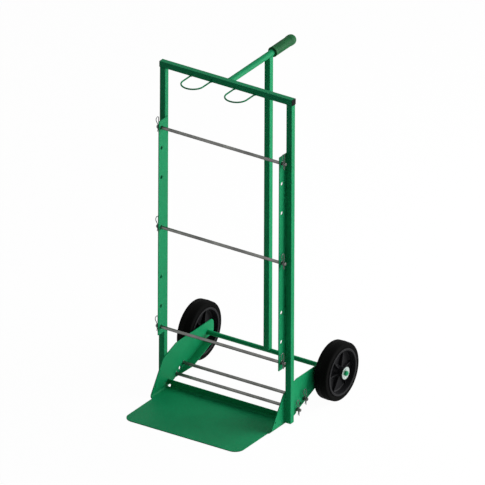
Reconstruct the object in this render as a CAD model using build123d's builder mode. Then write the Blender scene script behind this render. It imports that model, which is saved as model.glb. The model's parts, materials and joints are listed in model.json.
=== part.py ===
from build123d import *
from math import acos, atan2, cos, degrees, hypot, radians, sin, tan
import os

os.makedirs("parts", exist_ok=True)

# Upright hand truck for a coil of wire or a pair of spools, in millimetres.
# X runs across, Y to the rear, Z up.  The origin is on the floor, on the centre line,
# in the plane of the uprights' front faces.

# ---- driving dimensions ------------------------------------------------------------

# square-tube frame
frame_width = 613.5          # over the outsides of the uprights
frame_height = 1413.5        # floor to the top of the top bar
foot_height = 9.5            # the uprights end this far above the floor
tube = 25.4                  # side of the square tube
tube_wall = 2.0
tube_corner = 2.5            # outside corner radius of the square tube
plug_lip = 2.0               # head of the plug in each end of the top bar
plug_depth = 14.0
plug_clearance = 0.3

# hole strips, one inside each upright, standing out in front of it
strip_front = -46.0
strip_width = 63.5
strip_thickness = 3.0
strip_end = 31.75            # from the end hole to the end of the strip
strip_hole_edge = 18.4       # from the front edge to the line of holes
strip_corner = 1.5
first_hole_height = 282.0
close_pitch = 88.9
middle_pitch = 127.0
wide_pitch = 215.9
rod_hole = 15.0              # diameter of every hole that a rod fits

# rods and their hairpin clips
rod_diameter = 12.7
rod_seat = 0.3               # a rod lies this far above the bottom of its holes
rod_overhang = 18.1          # past the outer face of each strip or wall
rod_chamfer = 1.0
clip_wire = 3.0
clip_hole = 3.4
clip_stand_off = 11.1        # from the same face to the clip
clip_ring_radius = 9.0       # to the middle of the wire
clip_ring_height = 37.0      # ring's centre above the rod's axis
clip_tail = 25.5             # straight leg below the rod's axis
clip_gap = 0.3               # between the curved leg and the rod
clip_neck = 4.2              # between the middles of the two legs where they pinch in
clip_wrap_angle = 30.0       # half the arc of the curved leg round the rod
clip_bend = 4.0
clip_tip_flare = 3.4
clip_tip_drop = 9.5

# base tray: one bent sheet, with a floor, a wall at each side and a lip at the rear
sheet = 3.4
tray_bend = 12.7             # outside radius of the bends round the floor
toe_front = -311.4
toe_corner = 40.0
lip_height = 33.8
relief_radius = 7.0          # round hole where the bends of a wall and the lip meet
relief_inset = 11.2          # from the wall's outer face
relief_y = 20.0
relief_height = 9.5
wall_front = -101.0
wall_front_angle = 56.1      # slope of the front edge
wall_knee_height = 134.8     # where the front edge turns to the rear
wall_shoulder_y = 80.8
wall_height = 165.3
wall_rear = 345.0
wall_rear_radius = 20.0
wall_bend_rear = 22.0        # behind this the wall is flat down to its lower edge
wall_foot_height = 6.0       # lower edge behind the lip
wall_foot_rear = 43.8        # where the lower edge starts to rise
wall_tail_y = 300.2          # where it levels out again
wall_tail_height = 99.7
flange_width = 38.1
flange_bend = 5.0            # outside radius
flange_start = 38.5          # along the rising edge
flange_full = 115.0          # where the flange has reached its full width
flange_end_gap = 12.0
rear_rod_y = 132.0
rear_rod_height = 59.8
front_rod_y = 83.0
front_rod_height = 32.8
tie_hole = 6.5               # small hole near each wall's front edge
tie_hole_y = -66.5
tie_hole_height = 35.5

# guide loops under the top bar
loop_rod = 6.4
loop_radius = 46.5           # to the middle of the rod
loop_leg = 56.0
left_loop_x = -114.9
right_loop_x = 88.1

# rear post, handle and grip
post_wall = 2.0
post_top_drop = 5.0          # from the handle's middle down to the top of the post
handle_diameter = 25.4
handle_wall = 2.0
grip_start = 328.5
grip_end = 479.9
grip_diameter = 40.0
grip_rim_diameter = 42.0
grip_rim = 7.0
grip_edge_radius = 2.0
grip_end_diameter = 44.0
grip_end_length = 34.0       # the swollen part at the closed end
grip_floor = 17.0            # beyond the handle's end
grip_clearance = 0.05

# axle and wheels
axle_y = 304.1
axle_diameter = 19.0
axle_hole_clearance = 0.05
axle_overhang = 7.8          # past the outer washer
axle_chamfer = 1.5
wheel_diameter = 240.0
tyre_width = 57.0
tyre_shoulder = 7.0
tyre_crown = 1.5             # tread's middle above its edges
tyre_height = 28.0           # from the rim's seat to the middle of the tread
rim_flange_height = 4.5      # of each flange beside the tyre
rim_flange = 3.0             # width of each flange outside the tyre
rim_barrel_wall = 3.6
rim_barrel_draft = 3.0       # the barrel's bore narrows by this much to the web
web_thickness = 9.0
rib_count = 6
rib_thickness = 5.0
rib_height = 16.0            # above the web at the hub
rib_drop = 9.0               # fall of a rib from hub to barrel
rib_phase = 25.0             # turn of the first rib from the top
hub_inboard = 34.8           # from the tyre's middle to the end beside the tray
hub_outboard = 41.2
hub_radius = 21.0
hub_root_radius = 26.0       # where the hub meets the web
hub_taper = 14.0
press_gap = 0.02             # left between the pressed and moulded faces of one wheel
hub_play = 0.3               # at each end of the hub
bush_wall = 3.5
bush_flange = 2.0
bush_flange_radius = 17.0
bush_length = 24.0
washer_outer = 50.8
inner_washer_outer = 36.0
washer_bore = 20.4
washer_thickness = 2.5
split_pin_wire = 1.5
split_pin_hole = 3.6
split_pin_eye = 4.2          # half the eye's width
split_pin_spread = 7.0
split_pin_split = 0.1         # between the pin's two legs
split_pin_bend = 1.0         # where the eye opens
split_pin_prong_bend = 1.5
split_pin_eye_bend = 2.2
split_pin_gap = 0.3          # from the outer washer to the pin's hole
running_clearance = 0.05     # radial, between each bush and the axle

# ---- derived places ----------------------------------------------------------------

half_width = frame_width / 2
inner_x = half_width - tube              # inner faces of the uprights
upright_x = half_width - tube / 2        # middles of the uprights
strip_x = inner_x - strip_thickness      # the strips' inner faces
wall_x = inner_x - sheet                 # the tray walls' inner faces
floor_half = inner_x - tray_bend         # half the width of the tray's flat floor
bar_z = frame_height - tube / 2
bar_bottom = frame_height - tube
hole_y = strip_front + strip_hole_edge
hole_steps = [0, close_pitch, middle_pitch, wide_pitch, wide_pitch, middle_pitch, close_pitch]
hole_heights = [first_hole_height + sum(hole_steps[: n + 1]) for n in range(len(hole_steps))]
strip_bottom = hole_heights[0] - strip_end
strip_top = hole_heights[-1] + strip_end
rod_radius = rod_diameter / 2
rod_drop = (rod_hole - rod_diameter) / 2 - rod_seat
axle_radius = axle_diameter / 2
axle_z = wheel_diameter / 2
handle_radius = handle_diameter / 2
handle_end = grip_end - grip_floor
clip_plane = inner_x + clip_stand_off
rod_end = inner_x + rod_overhang
hub_inner = inner_x + washer_thickness + hub_play
wheel_x = hub_inner + hub_inboard        # middles of the tyres
outer_washer_x = wheel_x + hub_outboard + hub_play
axle_end = outer_washer_x + washer_thickness + axle_overhang
split_pin_x = outer_washer_x + washer_thickness + split_pin_gap + split_pin_hole / 2

# holes that rods pass through, in the two walls of the tray; the middle one is spare
wall_rod_holes = [
    (rear_rod_y, rear_rod_height + rod_drop),
    ((rear_rod_y + front_rod_y) / 2, (rear_rod_height + front_rod_height) / 2 + rod_drop),
    (front_rod_y, front_rod_height + rod_drop),
]

rods = {
    "top_rod": (hole_y, hole_heights[6] - rod_drop),
    "middle_rod": (hole_y, hole_heights[3] - rod_drop),
    "bottom_rod": (hole_y, hole_heights[0] - rod_drop),
    "rear_base_rod": (rear_rod_y, rear_rod_height),
    "front_base_rod": (front_rod_y, front_rod_height),
}

sides = {"left": -1, "right": 1}


def write(part, name):
    """Label a finished piece and write it as a STEP file."""
    part.label = name
    export_step(part, f"parts/{name}.step")


# ---- square-tube frame -------------------------------------------------------------

for side, sign in sides.items():
    with BuildPart() as upright:
        with BuildSketch(Plane.XY.offset(foot_height)):
            with Locations((sign * upright_x, tube / 2)):
                RectangleRounded(tube, tube, tube_corner)
                Rectangle(tube - 2 * tube_wall, tube - 2 * tube_wall, mode=Mode.SUBTRACT)
        extrude(amount=bar_bottom - foot_height)
    write(upright.part, f"{side}_upright")

with BuildPart() as top_bar:
    with BuildSketch(Plane.YZ.offset(-half_width)):
        with Locations((tube / 2, bar_z)):
            RectangleRounded(tube, tube, tube_corner)
            Rectangle(tube - 2 * tube_wall, tube - 2 * tube_wall, mode=Mode.SUBTRACT)
    extrude(amount=frame_width)
write(top_bar.part, "top_bar")

plug_side = tube - 2 * tube_wall - 2 * plug_clearance
with BuildPart() as end_plugs:
    for sign in sides.values():
        with BuildSketch(Plane.YZ.offset(sign * half_width)):
            with Locations((tube / 2, bar_z)):
                RectangleRounded(tube, tube, tube_corner)
        extrude(amount=sign * plug_lip)
        with BuildSketch(Plane.YZ.offset(sign * half_width)):
            with Locations((tube / 2, bar_z)):
                Rectangle(plug_side, plug_side)
        extrude(amount=-sign * plug_depth)
write(end_plugs.part, "bar_end_plugs")

with BuildPart() as rear_post:
    with BuildSketch(Plane.XY.offset(axle_z)):
        with Locations((0, axle_y)):
            RectangleRounded(tube, tube, tube_corner)
            Rectangle(tube - 2 * post_wall, tube - 2 * post_wall, mode=Mode.SUBTRACT)
    extrude(amount=bar_z - post_top_drop - axle_z)
    # both ends are coped to the round bars that they are welded to
    with Locations(Location((0, axle_y, axle_z), (0, 90, 0))):
        Cylinder(axle_radius, 2 * tube, mode=Mode.SUBTRACT)
    with Locations(Location((0, axle_y, bar_z), (90, 0, 0))):
        Cylinder(handle_radius, 2 * tube, mode=Mode.SUBTRACT)
write(rear_post.part.solids().sort_by(SortBy.VOLUME)[-1], "rear_post")

with BuildPart() as handle_tube:
    with BuildSketch(Plane.XZ.offset(-tube)):
        with Locations((0, bar_z)):
            Circle(handle_radius)
            Circle(handle_radius - handle_wall, mode=Mode.SUBTRACT)
    extrude(amount=-(handle_end - tube))
write(handle_tube.part, "handle_tube")

with BuildPart() as grip:
    with BuildSketch(Plane.YZ):
        with BuildLine():
            swell_start = grip_end - grip_end_length
            dome_start = grip_end - grip_end_diameter / 2
            rim_top = bar_z + grip_rim_diameter / 2
            body_top = bar_z + grip_diameter / 2
            swell_top = bar_z + grip_end_diameter / 2
            Line((grip_start, bar_z), (grip_start, rim_top))
            Line((grip_start, rim_top), (grip_start + grip_rim, rim_top))
            Spline(
                (grip_start + grip_rim, rim_top),
                (grip_start + 2 * grip_rim, body_top),
                tangents=[(1, 0), (1, 0)],
            )
            Line((grip_start + 2 * grip_rim, body_top), (swell_start - grip_rim, body_top))
            Spline(
                (swell_start - grip_rim, body_top),
                (swell_start, swell_top),
                tangents=[(1, 0), (1, 0)],
            )
            Line((swell_start, swell_top), (dome_start, swell_top))
            RadiusArc((dome_start, swell_top), (grip_end, bar_z), grip_end_diameter / 2)
            Line((grip_end, bar_z), (grip_start, bar_z))
        make_face()
    revolve(axis=Axis((0, 0, bar_z), (0, 1, 0)))
    front_edges = grip.edges().filter_by(GeomType.CIRCLE).group_by(Axis.Y)[0]
    fillet(front_edges, grip_edge_radius)
    with Locations(Location((0, (grip_start + handle_end) / 2, bar_z), (90, 0, 0))):
        Cylinder(handle_radius + grip_clearance, handle_end - grip_start, mode=Mode.SUBTRACT)
write(grip.part, "handle_grip")

# ---- hole strips -------------------------------------------------------------------

for side, sign in sides.items():
    with BuildPart() as strip:
        with BuildSketch(Plane.YZ.offset(sign * strip_x)):
            with Locations((strip_front + strip_width / 2, (strip_bottom + strip_top) / 2)):
                RectangleRounded(strip_width, strip_top - strip_bottom, strip_corner)
            with Locations(*[(hole_y, height) for height in hole_heights]):
                Circle(rod_hole / 2, mode=Mode.SUBTRACT)
        extrude(amount=sign * strip_thickness)
    write(strip.part, f"{side}_hole_strip")

# ---- base tray ---------------------------------------------------------------------

front_slope = 1 / tan(radians(wall_front_angle))
rise_angle = atan2(wall_tail_height - wall_foot_height, wall_tail_y - wall_foot_rear)
rise_length = hypot(wall_tail_height - wall_foot_height, wall_tail_y - wall_foot_rear)
flange_end = rise_length - flange_end_gap
rise = Plane(
    origin=(0, wall_foot_rear, wall_foot_height),
    x_dir=(0, cos(rise_angle), sin(rise_angle)),
    z_dir=(0, -sin(rise_angle), cos(rise_angle)),
)


def on_rise(along, above):
    """Y and Z of a point this far along the walls' rising lower edge and above it."""
    point = rise.from_local_coords((along, 0, above))
    return (point.Y, point.Z)


wall_outline = [
    (wall_front + tray_bend * front_slope, tray_bend),
    (wall_front + wall_knee_height * front_slope, wall_knee_height),
    (wall_shoulder_y, wall_height),
    (wall_rear, wall_height),
    (wall_rear, wall_tail_height),
    (wall_tail_y, wall_tail_height),
    on_rise(flange_end, 0),
    on_rise(flange_end, flange_bend),
    on_rise(flange_start, flange_bend),
    on_rise(flange_start, 0),
    (wall_foot_rear, wall_foot_height),
    (wall_bend_rear, wall_foot_height),
    (wall_bend_rear, tray_bend),
]

# each bend: plane at its outer corner with x and y along the two flats, radius, length
lip_corner = Plane(origin=(-floor_half, tube, 0), x_dir=(0, -1, 0), z_dir=(-1, 0, 0))
bends = [(lip_corner, tray_bend, -2 * floor_half)]
for sign in sides.values():
    wall_corner = Plane(
        origin=(sign * inner_x, wall_front, 0), x_dir=(-sign, 0, 0), z_dir=(0, sign, 0)
    )
    bends.append((wall_corner, tray_bend, sign * (wall_bend_rear - wall_front)))
    flange_corner = Plane(
        origin=(sign * inner_x, *on_rise(flange_start, 0)), x_dir=(-sign, 0, 0), z_dir=sign * rise.x_dir
    )
    bends.append((flange_corner, flange_bend, sign * (flange_end - flange_start)))

with BuildPart() as base_tray:
    for corner, radius, length in bends:
        with BuildSketch(corner):
            with Locations((radius, radius)):
                Circle(radius)
                Circle(radius - sheet, mode=Mode.SUBTRACT)
            with Locations((radius / 2, radius / 2)):
                Rectangle(radius, radius, mode=Mode.INTERSECT)
        extrude(amount=length)
    # the walls' front edges slope back through their bends
    with BuildSketch(Plane.YZ.offset(-inner_x)):
        with BuildLine():
            Polyline((wall_front, 0), wall_outline[0], (wall_front, tray_bend), close=True)
        make_face()
    extrude(amount=2 * inner_x, mode=Mode.SUBTRACT)
    for sign in sides.values():
        with BuildSketch(Plane.YZ.offset(sign * wall_x)) as wall:
            with BuildLine():
                Polyline(*wall_outline, close=True)
            make_face()
            fillet(wall.vertices().group_by(Axis.X)[-1], wall_rear_radius)
            with Locations(*wall_rod_holes):
                Circle(rod_hole / 2, mode=Mode.SUBTRACT)
            with Locations((tie_hole_y, tie_hole_height)):
                Circle(tie_hole / 2, mode=Mode.SUBTRACT)
            with Locations((axle_y, axle_z)):
                Circle(axle_radius + axle_hole_clearance, mode=Mode.SUBTRACT)
        extrude(amount=sign * sheet)
        with BuildSketch(rise):
            with BuildLine():
                Polyline(
                    (flange_start, -sign * (inner_x - flange_bend)),
                    (flange_full, -sign * (inner_x - flange_width)),
                    (flange_end, -sign * (inner_x - flange_width)),
                    (flange_end, -sign * (inner_x - flange_bend)),
                    close=True,
                )
            make_face()
        extrude(amount=sheet)
    with BuildSketch(Plane.XY) as floor:
        with Locations((0, (toe_front + tube - tray_bend) / 2)):
            Rectangle(2 * floor_half, tube - tray_bend - toe_front)
        fillet(floor.vertices().group_by(Axis.Y)[0], toe_corner)
    extrude(amount=sheet)
    with BuildSketch(Plane.XZ.offset(-tube)):
        with Locations((0, (tray_bend + lip_height) / 2)):
            Rectangle(2 * wall_x, lip_height - tray_bend)
    extrude(amount=sheet)
    with Locations(*[(sign * (inner_x - relief_inset), relief_y, relief_height) for sign in sides.values()]):
        Sphere(relief_radius, mode=Mode.SUBTRACT)
write(base_tray.part, "base_tray")

# ---- guide loops -------------------------------------------------------------------

loop_z = bar_bottom + loop_rod / 2
for side, centre_x in {"left": left_loop_x, "right": right_loop_x}.items():
    with BuildPart() as guide_loop:
        with BuildLine():
            Line((centre_x - loop_radius, 0, loop_z), (centre_x - loop_radius, -loop_leg, loop_z))
            ThreePointArc(
                (centre_x - loop_radius, -loop_leg, loop_z),
                (centre_x, -loop_leg - loop_radius, loop_z),
                (centre_x + loop_radius, -loop_leg, loop_z),
            )
            Line((centre_x + loop_radius, -loop_leg, loop_z), (centre_x + loop_radius, 0, loop_z))
        with BuildSketch(Plane(origin=(centre_x - loop_radius, 0, loop_z), z_dir=(0, -1, 0))):
            Circle(loop_rod / 2)
        sweep()
    write(guide_loop.part, f"{side}_guide_loop")

# ---- axle, washers and split pins --------------------------------------------------

with BuildPart() as axle:
    with BuildSketch(Plane.YZ.offset(-axle_end)):
        with Locations((axle_y, axle_z)):
            Circle(axle_radius)
    extrude(amount=2 * axle_end)
    chamfer(axle.edges().filter_by(GeomType.CIRCLE), axle_chamfer)
    with BuildSketch(Plane.XY.offset(axle_z - axle_radius)):
        with Locations((-split_pin_x, axle_y), (split_pin_x, axle_y)):
            Circle(split_pin_hole / 2)
    extrude(amount=axle_diameter, mode=Mode.SUBTRACT)
write(axle.part, "axle")

with BuildPart() as washers:
    for sign in sides.values():
        for washer_x, outer in ((inner_x, inner_washer_outer), (outer_washer_x, washer_outer)):
            with BuildSketch(Plane.YZ.offset(sign * washer_x)):
                with Locations((axle_y, axle_z)):
                    Circle(outer / 2)
                    Circle(washer_bore / 2, mode=Mode.SUBTRACT)
            extrude(amount=sign * washer_thickness)
write(washers.part, "axle_washers")

leg_offset = (split_pin_wire + split_pin_split) / 2
eye_low = axle_radius + split_pin_wire
prong_low = -axle_radius - split_pin_wire
pin_bends = [split_pin_prong_bend, split_pin_bend] + 3 * [split_pin_eye_bend]
pin_bends += [split_pin_bend, split_pin_prong_bend]
with BuildPart() as split_pins:
    for sign in sides.values():
        pin_plane = Plane(
            origin=(sign * split_pin_x, axle_y, axle_z), x_dir=(0, 1, 0), z_dir=(1, 0, 0)
        )
        with BuildLine(pin_plane):
            FilletPolyline(
                (-split_pin_spread, prong_low - split_pin_eye),
                (-leg_offset, prong_low),
                (-leg_offset, eye_low),
                (-split_pin_eye, eye_low + split_pin_eye),
                (0, eye_low + 2 * split_pin_eye),
                (split_pin_eye, eye_low + split_pin_eye),
                (leg_offset, eye_low),
                (leg_offset, prong_low),
                (split_pin_spread, prong_low - split_pin_eye),
                radius=pin_bends,
            )
        prong_end = pin_plane.from_local_coords((-split_pin_spread, prong_low - split_pin_eye, 0))
        prong_run = (0, split_pin_spread - leg_offset, split_pin_eye)
        with BuildSketch(Plane(origin=prong_end, z_dir=prong_run)):
            Circle(split_pin_wire / 2)
        sweep()
write(split_pins.part, "axle_split_pins")

# ---- wheels ------------------------------------------------------------------------

bush_bore = axle_radius + running_clearance
bush_radius = bush_bore + bush_wall
hub_bore = bush_radius + press_gap
web_half = web_thickness / 2
rim_seat_radius = wheel_diameter / 2 - tyre_height
rim_flange_radius = rim_seat_radius + rim_flange_height
tyre_half = tyre_width / 2
flange_half = tyre_half + rim_flange
barrel_mouth = rim_seat_radius - rim_barrel_wall
barrel_root = barrel_mouth - rim_barrel_draft
hub_ends = {1: hub_outboard - bush_flange, -1: hub_inboard - bush_flange}


def rim_half(end):
    """Half of a rim's section, from the hub's bore at one end out to the tyre's edge."""
    half = [
        (hub_ends[end], hub_bore),
        (hub_ends[end], hub_radius),
        (web_half + hub_taper, hub_radius),
        (web_half, hub_root_radius),
        (web_half, barrel_root),
        (flange_half, barrel_mouth),
        (flange_half, rim_flange_radius),
        (tyre_half, rim_flange_radius),
        (tyre_half, rim_seat_radius),
    ]
    return [(end * across, radius) for across, radius in half]


rim_section = rim_half(1) + rim_half(-1)[::-1]
rib_section = [
    (-web_half - rib_height, (hub_bore + hub_radius) / 2),
    (web_half + rib_height, (hub_bore + hub_radius) / 2),
    (web_half + rib_height - rib_drop, rim_seat_radius - rim_barrel_wall / 2),
    (-web_half - rib_height + rib_drop, rim_seat_radius - rim_barrel_wall / 2),
]
wheel_axis = Axis((0, axle_y, axle_z), (1, 0, 0))


def wheel_section(sign, turn=0.0):
    """Plane through a wheel's axis: local x along the axle, local y outwards at this turn."""
    return Plane(
        origin=(sign * wheel_x, axle_y, axle_z),
        x_dir=(1, 0, 0),
        z_dir=(0, -cos(radians(turn)), -sin(radians(turn))),
    )


for side, sign in sides.items():
    with BuildPart() as rim:
        with BuildSketch(wheel_section(sign)):
            with BuildLine():
                Polyline(*[(sign * across, radius) for across, radius in rim_section], close=True)
            make_face()
        revolve(axis=wheel_axis)
        for rib in range(rib_count):
            with BuildSketch(wheel_section(sign, rib_phase + rib * 360 / rib_count)):
                with BuildLine():
                    Polyline(*rib_section, close=True)
                make_face()
            extrude(amount=rib_thickness / 2, both=True)
    write(rim.part, f"{side}_wheel_rim")

    with BuildPart() as tyre:
        with BuildSketch(wheel_section(sign)) as tread:
            tread_edge = wheel_diameter / 2 - tyre_crown
            with BuildLine():
                ThreePointArc(
                    (tyre_half, tread_edge), (0, wheel_diameter / 2), (-tyre_half, tread_edge)
                )
                Polyline(
                    (-tyre_half, tread_edge),
                    (-tyre_half, rim_seat_radius + press_gap),
                    (tyre_half, rim_seat_radius + press_gap),
                    (tyre_half, tread_edge),
                )
            make_face()
            shoulders = tread.vertices().group_by(Axis.Y)[-1]
            fillet(shoulders, tyre_shoulder)
        revolve(axis=wheel_axis)
    write(tyre.part, f"{side}_tyre")

    with BuildPart() as bushes:
        for end, hub_end in hub_ends.items():
            out = sign * end
            with BuildSketch(wheel_section(sign)):
                with BuildLine():
                    Polyline(
                        (out * (hub_end + bush_flange), bush_bore),
                        (out * (hub_end + bush_flange), bush_flange_radius),
                        (out * hub_end, bush_flange_radius),
                        (out * hub_end, bush_radius),
                        (out * (hub_end - bush_length), bush_radius),
                        (out * (hub_end - bush_length), bush_bore),
                        close=True,
                    )
                make_face()
            revolve(axis=wheel_axis)
    write(bushes.part, f"{side}_wheel_bushes")

# ---- rods and their hairpin clips --------------------------------------------------

# The clip is one wire in a plane across the rod.  Its straight leg goes down through the
# rod, its ring stands above and in front, and its curved leg wraps the front of the rod.
wrap_radius = rod_radius + clip_gap + clip_wire / 2
wrap_point = wrap_radius / cos(radians(clip_wrap_angle))
neck_height = (wrap_point - clip_neck) / tan(radians(clip_wrap_angle))
ring_to_neck = (clip_ring_radius - clip_neck, neck_height - clip_ring_height)
neck_distance = hypot(*ring_to_neck)
ring_exit = radians(360) + atan2(ring_to_neck[1], ring_to_neck[0]) - acos(clip_ring_radius / neck_distance)
ring_end = (
    clip_ring_radius * (cos(ring_exit) - 1),
    clip_ring_height + clip_ring_radius * sin(ring_exit),
)

for rod_name, (rod_y, rod_z) in rods.items():
    with BuildPart() as rod:
        with BuildSketch(Plane.YZ.offset(-rod_end)):
            with Locations((rod_y, rod_z)):
                Circle(rod_radius)
        extrude(amount=2 * rod_end)
        chamfer(rod.edges().filter_by(GeomType.CIRCLE), rod_chamfer)
        with BuildSketch(Plane.XY.offset(rod_z - rod_radius)):
            with Locations((-clip_plane, rod_y), (clip_plane, rod_y)):
                Circle(clip_hole / 2)
        extrude(amount=rod_diameter, mode=Mode.SUBTRACT)
    write(rod.part, rod_name)

    with BuildPart() as clips:
        for sign in sides.values():
            across = Plane(
                origin=(sign * clip_plane, rod_y, rod_z), x_dir=(0, 1, 0), z_dir=(1, 0, 0)
            )
            with BuildLine(across):
                Line((0, -clip_tail), (0, clip_ring_height))
                CenterArc((-clip_ring_radius, clip_ring_height), clip_ring_radius, 0, degrees(ring_exit))
                FilletPolyline(
                    ring_end,
                    (-clip_neck, neck_height),
                    (-wrap_point, 0),
                    (-clip_neck, -neck_height),
                    (-clip_neck - clip_tip_flare, -neck_height - clip_tip_drop),
                    radius=[clip_bend, wrap_radius, clip_bend],
                )
            with BuildSketch(Plane.XY.offset(rod_z - clip_tail)):
                with Locations((sign * clip_plane, rod_y)):
                    Circle(clip_wire / 2)
            sweep()
    write(clips.part, f"{rod_name}_clips")
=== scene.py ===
"""Finish of an upright hand truck for wire coils and spools."""

import json
from math import acos, atan2, cos, hypot, pi, radians, sin, tan

import bmesh
import bpy
from mathutils import Matrix, Vector


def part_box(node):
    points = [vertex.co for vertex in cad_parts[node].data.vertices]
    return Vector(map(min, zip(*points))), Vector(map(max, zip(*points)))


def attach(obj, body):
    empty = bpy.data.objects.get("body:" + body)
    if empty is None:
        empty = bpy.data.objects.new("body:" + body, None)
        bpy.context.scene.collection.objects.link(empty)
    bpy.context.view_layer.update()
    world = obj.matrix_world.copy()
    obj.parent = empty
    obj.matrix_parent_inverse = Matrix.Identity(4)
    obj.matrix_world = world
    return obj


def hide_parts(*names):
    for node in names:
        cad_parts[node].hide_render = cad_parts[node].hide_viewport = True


MM = 0.001

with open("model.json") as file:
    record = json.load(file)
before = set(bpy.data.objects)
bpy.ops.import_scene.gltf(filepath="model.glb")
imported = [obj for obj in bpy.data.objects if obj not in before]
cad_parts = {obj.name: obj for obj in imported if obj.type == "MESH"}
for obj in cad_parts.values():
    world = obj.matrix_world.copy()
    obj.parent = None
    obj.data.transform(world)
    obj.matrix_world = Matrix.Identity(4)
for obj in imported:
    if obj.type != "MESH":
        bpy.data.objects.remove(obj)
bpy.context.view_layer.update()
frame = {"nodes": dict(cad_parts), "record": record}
nodes = frame["nodes"]


def middle(node):
    """Centre of a CAD node's box, in millimetres."""
    low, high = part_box(node)
    return (low + high) / 2 / MM


def reach(node):
    """Highest corner of a CAD node's box, in millimetres."""
    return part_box(node)[1] / MM


# ---- places taken from the frame ---------------------------------------------------

bar = middle("top_bar")                      # middle of the square tube across the top
bar_half = reach("top_bar").z - bar.z        # half the tube's side
inner_face = reach("right_hole_strip").x     # inner faces of the uprights
bar_bottom = bar.z - bar_half
axle = middle("axle")
axle_radius = reach("axle").z - axle.z
wheels = {"left_wheel": ("left", middle("left_tyre")), "right_wheel": ("right", middle("right_tyre"))}
rods = ("top_rod", "middle_rod", "bottom_rod", "rear_base_rod", "front_base_rod")

# ---- materials ---------------------------------------------------------------------


def linear(code):
    """An sRGB hex colour as linear light for a colour socket."""
    shares = [int(code[n:n + 2], 16) / 255 for n in (0, 2, 4)]
    return [s / 12.92 if s <= 0.04045 else ((s + 0.055) / 1.055) ** 2.4 for s in shares] + [1.0]


def add(tree, kind, inputs=None, **settings):
    """One node with its settings. An input takes a value or another node's output."""
    made = tree.nodes.new(kind)
    for name, value in settings.items():
        setattr(made, name, value)
    for name, value in (inputs or {}).items():
        if isinstance(value, bpy.types.NodeSocket):
            tree.links.new(value, made.inputs[name])
        else:
            made.inputs[name].default_value = value
    return made


def start_material(name, **shader_values):
    """A material with its shader, and the tree and the object coordinates in millimetres."""
    made = bpy.data.materials.new(name)
    made.use_nodes = True
    tree = made.node_tree
    tree.nodes.clear()
    place = add(tree, "ShaderNodeTexCoord").outputs["Object"]
    in_mm = add(tree, "ShaderNodeVectorMath", {0: place, 1: (1000, 1000, 1000)}, operation="MULTIPLY")
    shader = add(tree, "ShaderNodeBsdfPrincipled", shader_values)
    add(tree, "ShaderNodeOutputMaterial", {"Surface": shader.outputs["BSDF"]})
    return made, tree, in_mm.outputs["Vector"], shader


def noise(tree, place, size_mm, stretch=(1, 1, 1), detail=2.0):
    """Noise whose patches are about size_mm across, drawn out along an axis by stretch."""
    scale = [1 / (size_mm * s) for s in stretch]
    at = add(tree, "ShaderNodeMapping", {"Vector": place, "Scale": scale})
    made = add(tree, "ShaderNodeTexNoise", {"Vector": at.outputs["Vector"], "Scale": 1.0, "Detail": detail})
    return made.outputs["Fac"]


def blend(tree, factor, stops):
    """Colours laid over a 0 to 1 pattern: stops are (place, hex colour)."""
    ramp = add(tree, "ShaderNodeValToRGB", {"Fac": factor})
    points = ramp.color_ramp.elements
    while len(points) < len(stops):
        points.new(0.5)
    for point, (place, code) in zip(points, stops):
        point.position = place
        point.color = linear(code)
    return ramp.outputs["Color"]


def level(tree, factor, low, high):
    """A 0 to 1 pattern spread over low to high."""
    made = add(tree, "ShaderNodeMapRange", {"Value": factor, "To Min": low, "To Max": high})
    return made.outputs["Result"]


def powder_coat():
    """Polyester powder coat on steel, sprayed and baked. The eye gets a deep even green with a
    weak sheen, a faint orange peel, slightly rounded edges and a little drift in the tone,
    with painted shade darkening it in corners and where it comes near other parts."""
    made, tree, place, shader = start_material("powder_coated_steel", **{"Specular IOR Level": 0.12})
    drift = noise(tree, place, 160)              # thickness of the coat over a whole tube
    speck = noise(tree, place, 7)
    mix = add(tree, "ShaderNodeMath", {0: drift, 1: speck}, operation="MULTIPLY")
    colour = blend(tree, mix.outputs["Value"], [(0.12, "0A945D"), (0.40, "10A368")])
    # Painted shade: an ambient occlusion node darkens the base colour in corners and between parts
    nook = add(tree, "ShaderNodeAmbientOcclusion", {"Distance": 30 * MM}, samples=6)
    painted_corner_shade = blend(tree, nook.outputs["AO"], [(0.2, "D8D8D8"), (0.8, "FFFFFF")])    # painted shade: colour darkened in corners and near other parts by ambient occlusion
    shaded = add(tree, "ShaderNodeMix", {"Factor": 1.0}, data_type="RGBA", blend_type="MULTIPLY")
    tree.links.new(colour, shaded.inputs[6])
    tree.links.new(painted_corner_shade, shaded.inputs[7])
    peel = noise(tree, place, 2.4)               # orange peel is 1 to 3 mm across
    edge = add(tree, "ShaderNodeBevel", {"Radius": 0.8 * MM}, samples=4)
    bump = add(tree, "ShaderNodeBump", {"Height": peel, "Strength": 0.25, "Distance": 0.06 * MM,
                                        "Normal": edge.outputs["Normal"]})
    tree.links.new(shaded.outputs[2], shader.inputs["Base Color"])
    tree.links.new(level(tree, speck, 0.5, 0.62), shader.inputs["Roughness"])
    tree.links.new(bump.outputs["Normal"], shader.inputs["Normal"])
    return made


def drawn_steel():
    """Cold-drawn steel bar, left bare and oiled. The eye gets a mid grey with fine lines
    along the bar from the die, and some duller patches."""
    made, tree, place, shader = start_material("cold_drawn_steel_bar", Metallic=1.0,
                                                **{"Specular Tint": linear("383838")})
    lines = noise(tree, place, 1.2, stretch=(90, 1, 1))   # die lines, drawn about 1 mm wide to show
    patch = noise(tree, place, 45)
    both = add(tree, "ShaderNodeMath", {0: lines, 1: patch}, operation="MULTIPLY")
    colour = blend(tree, both.outputs["Value"], [(0.1, "5C5C5B"), (0.42, "82827F")])
    bump = add(tree, "ShaderNodeBump", {"Height": lines, "Strength": 0.3, "Distance": 0.03 * MM})
    tree.links.new(colour, shader.inputs["Base Color"])
    tree.links.new(level(tree, patch, 0.28, 0.42), shader.inputs["Roughness"])
    tree.links.new(bump.outputs["Normal"], shader.inputs["Normal"])
    return made


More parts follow.
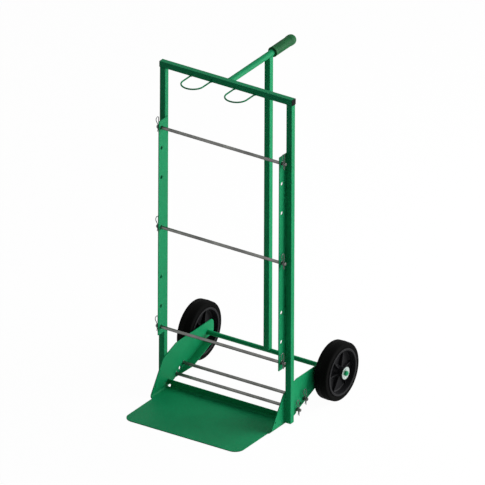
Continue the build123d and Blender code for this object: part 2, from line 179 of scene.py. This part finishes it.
def zinc_plate():
    """Bright zinc plate on stamped washers and pins. The eye gets a pale, slightly cool metal
    with a cloudy bloom."""
    made, tree, place, shader = start_material("zinc_plated_steel", Metallic=1.0)
    cloud = noise(tree, place, 6, detail=4)
    colour = blend(tree, cloud, [(0.3, "ACBAB4"), (0.7, "D6E2DD")])
    bump = add(tree, "ShaderNodeBump", {"Height": cloud, "Strength": 0.2, "Distance": 0.05 * MM})
    tree.links.new(colour, shader.inputs["Base Color"])
    tree.links.new(level(tree, cloud, 0.22, 0.38), shader.inputs["Roughness"])
    tree.links.new(bump.outputs["Normal"], shader.inputs["Normal"])
    return made


def spring_wire():
    """Plated spring wire of the hairpin clips. The eye gets a smooth dark grey metal with a
    tight highlight and slightly duller bends."""
    made, tree, place, shader = start_material("plated_spring_wire", Metallic=1.0,
                                                **{"Specular Tint": linear("3C3C3C")})
    cloud = noise(tree, place, 3)
    colour = blend(tree, cloud, [(0.3, "525453"), (0.7, "727473")])
    tree.links.new(colour, shader.inputs["Base Color"])
    tree.links.new(level(tree, cloud, 0.22, 0.34), shader.inputs["Roughness"])
    return made


def tyre_rubber():
    """Solid black rubber, moulded and matt. The eye gets a near-black with a fine grain and a
    little dust in it."""
    made, tree, place, shader = start_material("solid_rubber", **{"Specular IOR Level": 0.04})
    painted_corner_shade = noise(tree, place, 22, detail=5)
    grain = noise(tree, place, 0.9)              # mould grain, drawn near 1 mm to show
    colour = blend(tree, painted_corner_shade, [(0.35, "070707"), (0.75, "0E0E0D")])
    bump = add(tree, "ShaderNodeBump", {"Height": grain, "Strength": 0.35, "Distance": 0.08 * MM})
    tree.links.new(colour, shader.inputs["Base Color"])
    tree.links.new(level(tree, painted_corner_shade, 0.72, 0.9), shader.inputs["Roughness"])
    tree.links.new(bump.outputs["Normal"], shader.inputs["Normal"])
    return made


def moulded_polypropylene():
    """Glass-filled polypropylene of the rims, moulded. The eye gets a charcoal black, a shade
    lighter and glossier than the tyre, with faint flow streaks."""
    made, tree, place, shader = start_material("moulded_polypropylene", **{"Specular IOR Level": 0.12})
    flow = noise(tree, place, 9, detail=4)
    grain = noise(tree, place, 0.7)
    colour = blend(tree, flow, [(0.35, "131315"), (0.7, "1B1B1E")])
    bump = add(tree, "ShaderNodeBump", {"Height": grain, "Strength": 0.2, "Distance": 0.05 * MM})
    tree.links.new(colour, shader.inputs["Base Color"])
    tree.links.new(level(tree, flow, 0.42, 0.58), shader.inputs["Roughness"])
    tree.links.new(bump.outputs["Normal"], shader.inputs["Normal"])
    return made


def grip_vinyl():
    """Dip-moulded vinyl grip. The eye gets a dark, slightly yellowish green, soft and nearly
    matt, rubbed paler on top of its ribs."""
    made, tree, place, shader = start_material("moulded_vinyl", **{"Specular IOR Level": 0.12})
    rub = noise(tree, place, 14, stretch=(1, 3, 1), detail=4)
    grain = noise(tree, place, 0.8)
    colour = blend(tree, rub, [(0.3, "1A5E35"), (0.75, "247040")])
    bump = add(tree, "ShaderNodeBump", {"Height": grain, "Strength": 0.3, "Distance": 0.06 * MM})
    tree.links.new(colour, shader.inputs["Base Color"])
    tree.links.new(level(tree, rub, 0.5, 0.68), shader.inputs["Roughness"])
    tree.links.new(bump.outputs["Normal"], shader.inputs["Normal"])
    return made


def black_polyethylene():
    """Low-density polyethylene plug, moulded. The eye gets a waxy black with a soft sheen."""
    made, tree, place, shader = start_material("moulded_polyethylene", **{"Specular IOR Level": 0.06})
    haze = noise(tree, place, 5)
    tree.links.new(blend(tree, haze, [(0.3, "080908"), (0.7, "101110")]), shader.inputs["Base Color"])
    tree.links.new(level(tree, haze, 0.6, 0.75), shader.inputs["Roughness"])
    return made


def nylon():
    """Natural nylon of the bushes. The eye gets a dull cream with a little grease on it."""
    made, tree, place, shader = start_material("natural_nylon", IOR=1.53)
    grease = noise(tree, place, 4)
    tree.links.new(blend(tree, grease, [(0.3, "A79F8A"), (0.6, "CFC8B4")]), shader.inputs["Base Color"])
    tree.links.new(level(tree, grease, 0.3, 0.6), shader.inputs["Roughness"])
    return made


finishes = {
    "frame_paint": powder_coat(),
    "plain_steel": drawn_steel(),
    "zinc": zinc_plate(),
    "spring_wire": spring_wire(),
    "tyre_rubber": tyre_rubber(),
    "rim_plastic": moulded_polypropylene(),
    "grip_rubber": grip_vinyl(),
    "black_plastic": black_polyethylene(),
    "bush_plastic": nylon(),
}

for part in frame["record"]["subparts"]:
    surface = nodes[part["node"]].data.materials
    surface.clear()
    surface.append(finishes[part["material_slot"]])

# ---- making pieces -----------------------------------------------------------------


def rounded(points, radii, steps=5):
    """The points with an arc of the given radius at each corner. End radii aren't used."""
    out = [Vector(points[0])]
    for before, corner, after, radius in zip(points, points[1:], points[2:], radii[1:]):
        corner = Vector(corner)
        back = (Vector(before) - corner).normalized()
        on = (Vector(after) - corner).normalized()
        half = back.angle(on) / 2
        if radius == 0 or half > pi / 2 - 0.01:
            out.append(corner)
            continue
        centre = corner + (back + on).normalized() * radius / sin(half)
        first = corner + back * radius / tan(half) - centre
        last = corner + on * radius / tan(half) - centre
        sweep = pi - 2 * half
        for step in range(steps + 1):
            share = step / steps
            turn = (first * sin((1 - share) * sweep) + last * sin(share * sweep)) / sin(sweep)
            out.append(centre + turn)
    out.append(Vector(points[-1]))
    return out


def closed_rounded(points, radii, steps=5):
    """The same round a closed outline."""
    ring = list(points) + list(points[:2])
    repeated = steps + 1 if radii[0] else 1
    return rounded([points[-1], *ring], [0, *radii, radii[0], 0], steps)[1:-1 - repeated]


def finish_mesh(name, mesh, material, body, sharp=40):
    """A mesh in metres in the row frame as a finished piece that rides on a body."""
    mesh.name = name
    mesh.materials.clear()
    mesh.materials.append(material)
    mesh.shade_smooth()
    mesh.set_sharp_from_angle(angle=radians(sharp))
    made = bpy.data.objects.new(name, mesh)
    bpy.context.scene.collection.objects.link(made)
    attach(made, body)
    return made


def lathe(profile, centre, along, segments=96):
    """A closed outline (place along the axis, radius) in millimetres turned round an axis."""
    along = Vector(along)
    up = Vector((0, 0, 1))
    side = along.cross(up)
    work = bmesh.new()
    rings = []
    for segment in range(segments):
        turn = 2 * pi * segment / segments
        out = up * cos(turn) + side * sin(turn)
        rings.append([work.verts.new((centre + along * a + out * r) * MM) for a, r in profile])
    for ring, following in zip(rings, rings[1:] + rings[:1]):
        for n in range(len(profile)):
            m = (n + 1) % len(profile)
            work.faces.new((ring[n], ring[m], following[m], following[n]))
    bmesh.ops.remove_doubles(work, verts=work.verts, dist=0.001 * MM)
    bmesh.ops.dissolve_degenerate(work, edges=work.edges, dist=0.0005 * MM)
    bmesh.ops.recalc_face_normals(work, faces=work.faces)
    mesh = bpy.data.meshes.new("turned")
    work.to_mesh(mesh)
    work.free()
    return mesh


def wires(paths, radius):
    """Round wire along each path of points in millimetres, with rounded ends, as one mesh."""
    curve = bpy.data.curves.new("wire", "CURVE")
    curve.dimensions = "3D"
    curve.bevel_depth = radius * MM
    curve.bevel_resolution = 5
    curve.use_fill_caps = True
    curve.twist_mode = "MINIMUM"
    for path in paths:
        lead = [(path[0] + (path[1] - path[0]).normalized() * d, s) for d, s in ((0, 0.45), (0.35, 0.85))]
        tail = [(path[-1] + (path[-2] - path[-1]).normalized() * d, s) for d, s in ((0.35, 0.85), (0, 0.45))]
        run = lead + [(point, 1.0) for point in path[1:-1]] + tail
        line = curve.splines.new("POLY")
        line.points.add(len(run) - 1)
        for point, (place, share) in zip(line.points, run):
            point.co = (*(place * MM), 1)
            point.radius = share
    holder = bpy.data.objects.new("wire", curve)
    bpy.context.scene.collection.objects.link(holder)
    mesh = bpy.data.meshes.new_from_object(holder.evaluated_get(bpy.context.evaluated_depsgraph_get()))
    bpy.data.objects.remove(holder)
    return mesh


# ---- geometry node trees -----------------------------------------------------------


def start_tree(name, sizes):
    """A geometry tree with a Geometry input, named sizes and a Geometry output."""
    tree = bpy.data.node_groups.new(name, "GeometryNodeTree")
    tree.interface.new_socket("Geometry", in_out="INPUT", socket_type="NodeSocketGeometry")
    for size, kind in sizes.items():
        tree.interface.new_socket(size, in_out="INPUT", socket_type=f"NodeSocket{kind}")
    tree.interface.new_socket("Geometry", in_out="OUTPUT", socket_type="NodeSocketGeometry")
    return tree, add(tree, "NodeGroupInput").outputs


def end_tree(tree, instances, material):
    """Realises the instances and gives them their material."""
    real = add(tree, "GeometryNodeRealizeInstances", {"Geometry": instances})
    painted = add(tree, "GeometryNodeSetMaterial",
                  {"Geometry": real.outputs["Geometry"], "Material": material})
    add(tree, "NodeGroupOutput", {"Geometry": painted.outputs["Geometry"]})
    return tree


def weld_tree():
    """Overlapping ripples of a weld bead along the lines given to it."""
    tree, given = start_tree("weld_ripples", {"Ripple pitch": "Float", "Bead half width": "Float",
                                              "Ripple half length": "Float", "Material": "Material"})
    line = add(tree, "GeometryNodeMeshToCurve", {"Mesh": given["Geometry"]})
    points = add(tree, "GeometryNodeCurveToPoints", {"Curve": line.outputs["Curve"],
                                                     "Length": given["Ripple pitch"]}, mode="LENGTH")
    ripple = add(tree, "GeometryNodeMeshUVSphere", {"Segments": 10, "Rings": 6, "Radius": 1.0})
    shape = add(tree, "ShaderNodeCombineXYZ", {"X": given["Bead half width"], "Y": given["Bead half width"],
                                               "Z": given["Ripple half length"]})
    waver = add(tree, "FunctionNodeRandomValue", {"Min": (0.88,) * 3, "Max": (1.06,) * 3, "Seed": 7},
                data_type="FLOAT_VECTOR")
    size = add(tree, "ShaderNodeVectorMath", {0: shape.outputs["Vector"], 1: waver.outputs["Value"]},
               operation="MULTIPLY")
    beads = add(tree, "GeometryNodeInstanceOnPoints",
                {"Points": points.outputs["Points"], "Instance": ripple.outputs["Mesh"],
                 "Rotation": points.outputs["Rotation"], "Scale": size.outputs["Vector"]})
    return end_tree(tree, beads.outputs["Instances"], given["Material"])


def ring_tree():
    """Copies of one piece set evenly round an axis."""
    tree, given = start_tree("copies_round_an_axis", {"Count": "Int", "Centre": "Vector", "Axis": "Vector",
                                                      "First turn": "Float", "Material": "Material"})
    points = add(tree, "GeometryNodePoints", {"Count": given["Count"], "Position": given["Centre"]})
    index = add(tree, "GeometryNodeInputIndex")
    pitch = add(tree, "ShaderNodeMath", {0: 2 * pi, 1: given["Count"]}, operation="DIVIDE")
    turn = add(tree, "ShaderNodeMath", {0: index.outputs["Index"], 1: pitch.outputs["Value"],
                                        2: given["First turn"]}, operation="MULTIPLY_ADD")
    way = add(tree, "FunctionNodeAxisAngleToRotation",
              {"Axis": given["Axis"], "Angle": turn.outputs["Value"]})
    copies = add(tree, "GeometryNodeInstanceOnPoints",
                 {"Points": points.outputs["Points"], "Instance": given["Geometry"],
                  "Rotation": way.outputs["Rotation"]})
    return end_tree(tree, copies.outputs["Instances"], given["Material"])


def grown(mesh, tree, sizes):
    """The plain mesh that a geometry tree makes from a mesh."""
    holder = bpy.data.objects.new("grown", mesh)
    bpy.context.scene.collection.objects.link(holder)
    modifier = holder.modifiers.new("tree", "NODES")
    modifier.node_group = tree
    for item in tree.interface.items_tree:
        if item.in_out == "INPUT" and item.name in sizes:
            modifier[item.identifier] = sizes[item.name]
    made = bpy.data.meshes.new_from_object(holder.evaluated_get(bpy.context.evaluated_depsgraph_get()))
    bpy.data.objects.remove(holder)
    return made


weld_ripples = weld_tree()
copies_round_an_axis = ring_tree()

# ---- weld beads --------------------------------------------------------------------


def straight(start, end):
    """A bead's line between two points."""
    return [Vector(start), Vector(end)]


def arc(centre, first, second, radius, start, end, steps=24):
    """A bead's line round a centre, in the plane of two directions, between two turns in degrees."""
    turns = [radians(start + (end - start) * n / steps) for n in range(steps + 1)]
    return [Vector(centre) + radius * (Vector(first) * cos(t) + Vector(second) * sin(t)) for t in turns]


def bead_mesh(lines, half_width):
    """Weld bead along each line."""
    points = [point * MM for line in lines for point in line]
    edges = []
    count = 0
    for line in lines:
        edges += [(count + n, count + n + 1) for n in range(len(line) - 1)]
        count += len(line)
    mesh = bpy.data.meshes.new("bead_lines")
    mesh.from_pydata(points, edges, [])
    return grown(mesh, weld_ripples, {"Ripple pitch": 1.5 * MM, "Bead half width": half_width * MM,
                                      "Ripple half length": 1.9 * MM, "Material": finishes["frame_paint"]})


X, Y, Z = Vector((1, 0, 0)), Vector((0, 1, 0)), Vector((0, 0, 1))
tube_front = bar.y - bar_half
tube_rear = bar.y + bar_half
sheet = 3.4                                           # thickness of the tray's sheet
wall_inner = inner_face - sheet
post = middle("rear_post")
post_half = reach("rear_post").x
handle_radius = reach("handle_tube").x
loop_rod = reach("left_guide_loop").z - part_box("left_guide_loop")[0].z / MM
strip_low, strip_high = (corner.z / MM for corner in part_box("right_hole_strip"))

stitches, stitch_length, stitch_inset = 6, 38, 12     # welds of a strip, the outer ones set in from its ends
stitch_run = strip_high - strip_low - 2 * stitch_inset - stitch_length
wall_weld_low = 16                                    # above the sheet's bend
wall_weld_ends = {tube_front: 130, tube_rear: 138}    # under the sheet's rising edge

fillet_lines = []
for sign in (-1, 1):
    corner = sign * inner_face
    # stitches that hold each strip to the front of its upright
    for stitch in range(stitches):
        low = strip_low + stitch_inset + stitch * stitch_run / (stitches - 1)
        fillet_lines.append(straight((corner, tube_front, low), (corner, tube_front, low + stitch_length)))
    # tray's wall to upright, front and rear
    for face, high in wall_weld_ends.items():
        fillet_lines.append(straight((corner, face, wall_weld_low), (corner, face, high)))
    # top bar to upright, in the corner and round the butt
    fillet_lines.append(straight((corner, tube_front + 3, bar_bottom), (corner, tube_rear - 3, bar_bottom)))
    # axle to the tray's wall
    fillet_lines.append(arc((sign * wall_inner, axle.y, axle.z), Y, Z, axle_radius + 0.6, 0, 360, 40))
finish_mesh("weld_beads", bead_mesh(fillet_lines, 2.6), finishes["frame_paint"], "frame",
            sharp=60)

ring_lines = []
for side in ("left", "right"):
    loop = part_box(f"{side}_guide_loop")
    loop_z = loop[0].z / MM + loop_rod / 2
    for leg_x in (loop[0].x / MM + loop_rod / 2, loop[1].x / MM - loop_rod / 2):
        ring_lines.append(arc((leg_x, tube_front, loop_z), X, Z, loop_rod / 2 + 0.5, 0, 360, 24))
ring_lines.append(arc((bar.x, tube_rear, bar.z), X, Z, handle_radius - 0.6, 0, 360, 40))
for face in (post.y - post_half, post.y + post_half):
    ring_lines.append(arc((bar.x, face, bar.z), X, Z, handle_radius, 206, 334, 20))
for face in (-post_half, post_half):
    ring_lines.append(arc((face, axle.y, axle.z), Y, Z, axle_radius, 8, 172, 24))
finish_mesh("fine_weld_beads", bead_mesh(ring_lines, 1.8), finishes["frame_paint"], "frame",
            sharp=60)

# ---- handle grip -------------------------------------------------------------------

grip_low, grip_high = (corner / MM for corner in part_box("handle_grip"))
grip_radius = (grip_high.x - grip_low.x) / 2          # of the swollen end
body_radius = 20.0
rim_radius = 21.0
start, end = grip_low.y, grip_high.y
floor = 17.0                                          # of vinyl beyond the handle's end
grip_bore = handle_radius + 0.06
tip = 0.05                                            # radius where the lathe's outline ends on the axis
dome_turns = [radians(6 * n) for n in range(1, 15)]
dome = [(end - grip_radius * (1 - sin(t)), grip_radius * cos(t)) for t in dome_turns]
outline = rounded(
    [(start, grip_bore), (start, rim_radius), (start + 7, rim_radius), (start + 12, body_radius),
     (end - 44, body_radius), (end - 34, grip_radius), (end - grip_radius, grip_radius)],
    [0, 2, 2.5, 6, 14, 14, 0],
)
outline += [Vector(p) for p in dome]
outline += [Vector((end, tip)), Vector((end - floor, tip)), Vector((end - floor, grip_bore))]
grip_body = lathe(outline, Vector((bar.x, 0, bar.z)), Y)
grip = finish_mesh("vinyl_grip", grip_body, finishes["grip_rubber"], "frame")
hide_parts("handle_grip")

# one rib of the grip lies along its top; the tree sets the rest round it
rib_rise = 0.55                                       # above the grip's body
rib = bmesh.new()
rib_points = []
for y, height in ((start + 15, 0.0), (start + 17, rib_rise), (end - 49, rib_rise), (end - 46, 0.0)):
    across = ((-0.85, -0.4), (-0.55, height * 0.8), (0, height), (0.55, height * 0.8), (0.85, -0.4))
    rib_points.append([rib.verts.new((x * MM, y * MM, (body_radius + z) * MM)) for x, z in across])
for near, far in zip(rib_points, rib_points[1:]):
    for n in range(4):
        rib.faces.new((near[n], near[n + 1], far[n + 1], far[n]))
for cap in (rib_points[0], rib_points[-1]):
    rib.faces.new(cap)
for near, far in zip(rib_points, rib_points[1:]):
    rib.faces.new((near[4], near[0], far[0], far[4]))
bmesh.ops.recalc_face_normals(rib, faces=rib.faces)
rib_mesh = bpy.data.meshes.new("grip_rib")
rib.to_mesh(rib_mesh)
rib.free()
grip_centre = (bar.x * MM, 0, bar.z * MM)
ribs = grown(rib_mesh, copies_round_an_axis, {"Count": 36, "Centre": grip_centre, "Axis": (0, 1, 0),
                                              "First turn": 0.0, "Material": finishes["grip_rubber"]})
finish_mesh("grip_ribs", ribs, finishes["grip_rubber"], "frame", sharp=50)

# ---- wheels ------------------------------------------------------------------------

tyre_half = reach("right_tyre").x - middle("right_tyre").x
tyre_radius = axle.z
seat = 92.0                                           # radius of the rim under the tyre
bore = 13.07                                          # radius of the hub's bore
web = 4.5                                             # half the web's thickness
hub, hub_root = 21.0, 26.0                            # radii of the hub, and where it meets the web
flange_half = tyre_half + 3.0
flange, mouth, root = 96.5, 88.4, 85.4                # radii of the rim's flange and of its barrel's bore
hub_outboard = reach("right_wheel_rim").x - middle("right_tyre").x
hub_inboard = middle("right_tyre").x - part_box("right_wheel_rim")[0].x / MM


def rim_side(hub_end):
    """Corners of half a rim's section with their rounding, from the hub's bore out to the tyre's seat."""
    return [
        ((hub_end, bore), 0.6), ((hub_end, hub), 1.2), ((web + 14, hub), 4), ((web, hub_root), 5),
        ((web, root), 5), ((flange_half, mouth), 1.0), ((flange_half, flange), 1.4),
        ((tyre_half + 0.2, flange), 0.2), ((tyre_half, seat), 0.2),
    ]


def section(near, far, steps):
    """Outline of a section from the corners of its two halves, the far one mirrored."""
    corners = near + [((-a, r), radius) for (a, r), radius in reversed(far)]
    return closed_rounded([p for p, _ in corners], [radius for _, radius in corners], steps)


groove = 0.9                                          # depth of the groove beside the bead
tyre_side = [
    ((tyre_half, seat + 0.1), 0), ((tyre_half, 97.6), 0.3), ((tyre_half - groove, 98.4), 0.3),
    ((tyre_half - groove, 99.6), 0.3), ((tyre_half, 100.6), 0.6), ((tyre_half, tyre_radius - 1.6), 7.0),
]
mould_line = [((0.9, tyre_radius - 0.35), 0), ((0.5, tyre_radius), 0.1)]
tyre_outline = section(tyre_side + mould_line, tyre_side + mould_line, 6)

rib_half, rib_high, rib_drop = 2.5, 16.0, 9.0         # half thickness, height over the web, fall
rib_turn = radians(-25)                               # from the top towards the rear
rib_rows = (                                          # radius, height over the web, half thickness
    (19, rib_high, rib_half + 0.8),
    (30, rib_high - 1.5, rib_half),
    (60, rib_high - 5.5, rib_half - 0.2),
    (84, rib_high - rib_drop, rib_half),
    (90, rib_high - rib_drop, rib_half + 0.6),
)

for body, (side, centre) in wheels.items():
    ends = (hub_inboard, hub_outboard) if side == "left" else (hub_outboard, hub_inboard)
    rim_body = lathe(section(rim_side(ends[0]), rim_side(ends[1]), 4), centre, X, 120)
    tyre_body = lathe(tyre_outline, centre, X, 144)
    rim = finish_mesh(f"{side}_moulded_rim", rim_body, finishes["rim_plastic"], body,
                      sharp=55)
    tyre = finish_mesh(f"{side}_rubber_tyre", tyre_body, finishes["tyre_rubber"], body,
                       sharp=55)
    spoke = bmesh.new()
    rows = []
    for radius, high, thick in rib_rows:
        top = web + high
        half = [(top - 1.4, thick), (top - 0.4, thick - 0.5), (top, thick - 1.4)]
        ring = [(a, t) for a, t in half] + [(a, -t) for a, t in reversed(half)]
        ring += [(-a, -t) for a, t in half] + [(-a, t) for a, t in reversed(half)]
        rows.append([spoke.verts.new((a * MM, t * MM, radius * MM)) for a, t in ring])
    for near, far in zip(rows, rows[1:]):
        for n in range(len(near)):
            m = (n + 1) % len(near)
            spoke.faces.new((near[n], near[m], far[m], far[n]))
    spoke.faces.new(rows[0])
    spoke.faces.new(rows[-1])
    bmesh.ops.recalc_face_normals(spoke, faces=spoke.faces)
    spoke_mesh = bpy.data.meshes.new("spoke")
    spoke.to_mesh(spoke_mesh)
    spoke.free()
    spokes = grown(spoke_mesh, copies_round_an_axis, {
        "Count": 6, "Centre": tuple(centre * MM), "Axis": (1, 0, 0), "First turn": rib_turn,
        "Material": finishes["rim_plastic"]})
    finish_mesh(f"{side}_rim_ribs", spokes, finishes["rim_plastic"], body, sharp=50)
    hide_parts(f"{side}_wheel_rim")
    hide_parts(f"{side}_tyre")

# ---- hairpin clips -----------------------------------------------------------------

# The wire's line in a plane across the rod: up the straight leg, round the ring, in at the
# neck, round the front of the rod and out to the flared tip.
wire = 1.5
rod_radius = reach("top_rod").z - middle("top_rod").z
ring_radius, ring_height, neck = 9.0, 37.0, 4.2
leg = middle("top_rod").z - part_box("top_rod_clips")[0].z / MM
wrap = rod_radius + 0.3 + wire
wrap_angle = radians(30)
wrap_point = wrap / cos(wrap_angle)
neck_height = (wrap_point - neck) / tan(wrap_angle)
to_neck = (ring_radius - neck, neck_height - ring_height)
leaving = 2 * pi + atan2(to_neck[1], to_neck[0]) - acos(ring_radius / hypot(*to_neck))
ring = [(ring_radius * (cos(t) - 1), ring_height + ring_radius * sin(t))
        for t in (leaving * n / 40 for n in range(41))]
flared_tip = (-neck - 3.4, -neck_height - 9.5)
curved_leg = rounded(
    [ring[-1], (-neck, neck_height), (-wrap_point, 0), (-neck, -neck_height), flared_tip],
    [0, 4, wrap, 4, 0], 8,
)
hairpin = [(0, -leg), (0, -wrap), (0, wrap)] + ring + [tuple(p) for p in curved_leg[1:]]

for rod in rods:
    at = middle(rod)
    clip_x = reach(f"{rod}_clips").x - wire
    paths = [[Vector((sign * clip_x, at.y + y, at.z + z)) for y, z in hairpin] for sign in (-1, 1)]
    pair = finish_mesh(f"{rod}_hairpins", wires(paths, wire), finishes["spring_wire"], rod)
    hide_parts(f"{rod}_clips")

# ---- floor, light and camera -------------------------------------------------------


def backdrop_rays(tree):
    """1 for what the camera, a reflection or clear material sees, 0 for light on the object."""
    path = add(tree, "ShaderNodeLightPath").outputs
    seen = add(tree, "ShaderNodeMath", {0: path["Is Camera Ray"], 1: path["Is Glossy Ray"]},
               operation="MAXIMUM")
    return add(tree, "ShaderNodeMath", {0: seen.outputs["Value"], 1: path["Is Transmission Ray"]},
               operation="MAXIMUM").outputs["Value"]


def pale_floor():
    """Matt white floor. What is seen of it is mostly the white of the backdrop, with the
    object's shadow kept faintly in it."""
    made = bpy.data.materials.new("pale_floor")
    made.use_nodes = True
    tree = made.node_tree
    tree.nodes.clear()
    lit = add(tree, "ShaderNodeBsdfDiffuse", {"Color": linear("F2F2F2")})
    white = add(tree, "ShaderNodeEmission", {"Color": linear("FFFFFF"), "Strength": 1.02})
    share = add(tree, "ShaderNodeMath", {0: backdrop_rays(tree), 1: 0.955}, operation="MULTIPLY")
    mixed = add(tree, "ShaderNodeMixShader", {0: share.outputs["Value"], 1: lit.outputs["BSDF"],
                                              2: white.outputs["Emission"]})
    add(tree, "ShaderNodeOutputMaterial", {"Surface": mixed.outputs["Shader"]})
    return made


floor_work = bmesh.new()
bmesh.ops.create_circle(floor_work, cap_ends=True, segments=96, radius=9.0)
floor_mesh = bpy.data.meshes.new("floor")
floor_work.to_mesh(floor_mesh)
floor_work.free()
floor_mesh.materials.append(pale_floor())
floor_disc = bpy.data.objects.new("floor", floor_mesh)
bpy.context.scene.collection.objects.link(floor_disc)

world = bpy.data.worlds.new("studio")
bpy.context.scene.world = world
world.use_nodes = True
sky = world.node_tree
sky.nodes.clear()
ambient = add(sky, "ShaderNodeBackground", {"Color": linear("FFFFFF"), "Strength": 0.09})
white = add(sky, "ShaderNodeBackground", {"Color": linear("FFFFFF"), "Strength": 1.0})
seen = add(sky, "ShaderNodeMixShader", {0: backdrop_rays(sky), 1: ambient.outputs["Background"],
                                        2: white.outputs["Background"]})
add(sky, "ShaderNodeOutputWorld", {"Surface": seen.outputs["Shader"]})


def soft_light(name, place, target, size, power):
    """A square studio light aimed at a point, in metres."""
    lamp = bpy.data.lights.new(name, "AREA")
    lamp.shape = "SQUARE"
    lamp.size = size
    lamp.energy = power
    made = bpy.data.objects.new(name, lamp)
    made.location = place
    made.rotation_euler = (Vector(target) - Vector(place)).to_track_quat("-Z", "Y").to_euler()
    made.visible_camera = False
    bpy.context.scene.collection.objects.link(made)


soft_light("key", (2.9, 2.8, 1.75), (0, 0.1, 0.6), 3.2, 190)
soft_light("fill", (-0.6, 1.6, 4.2), (0, 0, 0.4), 2.4, 23)

azimuth, elevation, roll = radians(33.311), radians(26.625), 0.00401
right = Vector((cos(azimuth), sin(azimuth), 0))
back = Vector((sin(azimuth) * cos(elevation), -cos(azimuth) * cos(elevation), sin(elevation)))
up = back.cross(right)
level_right = right * cos(roll) + up * sin(roll)
level_up = up * cos(roll) - right * sin(roll)
lens = bpy.data.cameras.new("camera")
lens.type = "ORTHO"
lens.ortho_scale = 1.88094
camera = bpy.data.objects.new("camera", lens)
aim, distance = Vector((0.0027, 0.1190, 0.6635)), 5
turned = Matrix((level_right, level_up, back)).transposed().to_4x4()
camera.matrix_world = Matrix.Translation(aim + back * distance) @ turned
bpy.context.scene.collection.objects.link(camera)
bpy.context.scene.camera = camera
bpy.context.scene.view_settings.view_transform = "Standard"
